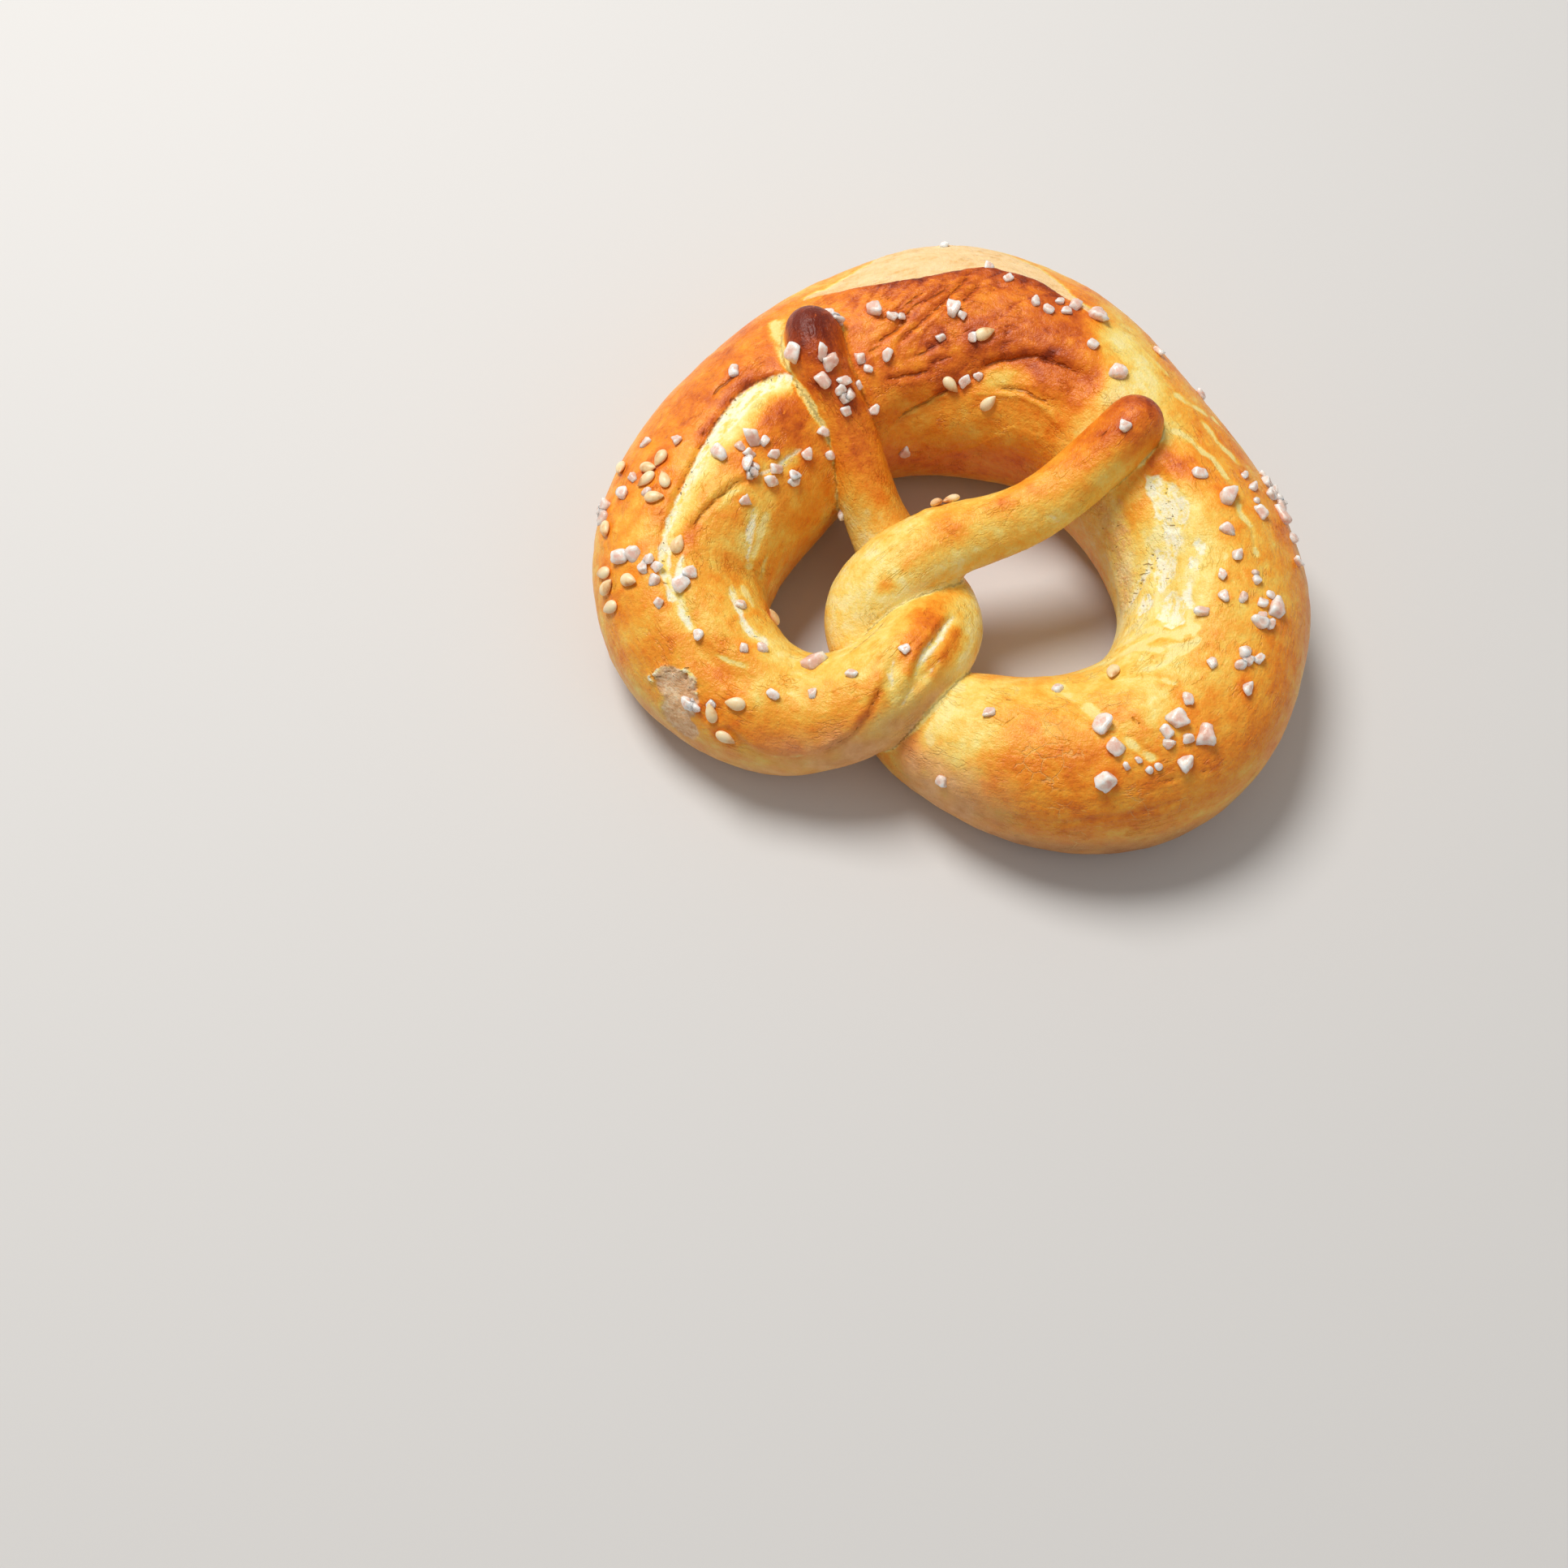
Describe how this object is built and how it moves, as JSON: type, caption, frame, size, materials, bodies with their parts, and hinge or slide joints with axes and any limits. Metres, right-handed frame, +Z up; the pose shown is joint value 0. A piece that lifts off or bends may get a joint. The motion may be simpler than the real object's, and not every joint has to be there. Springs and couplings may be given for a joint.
{
  "type": "soft pretzel",
  "caption": "Salted soft pretzel: a rope of dough bent into the pretzel knot, thick at the back, thin arms crossed over it, golden crust burst open along pale tears, flat underside.",
  "frame": {"origin": "middle of the plan box, on the flat underside", "axes": "+Z up, +Y from the knot towards the thick back arc, +X to the right lobe"},
  "size_m": [0.1117, 0.0958, 0.0335],
  "materials": {
    "crust": "baked crust, satin, golden to brown with cream-coloured tears"
  },
  "bodies": {
    "root": {"pretzel": "crust"}
  },
  "joints": []
}
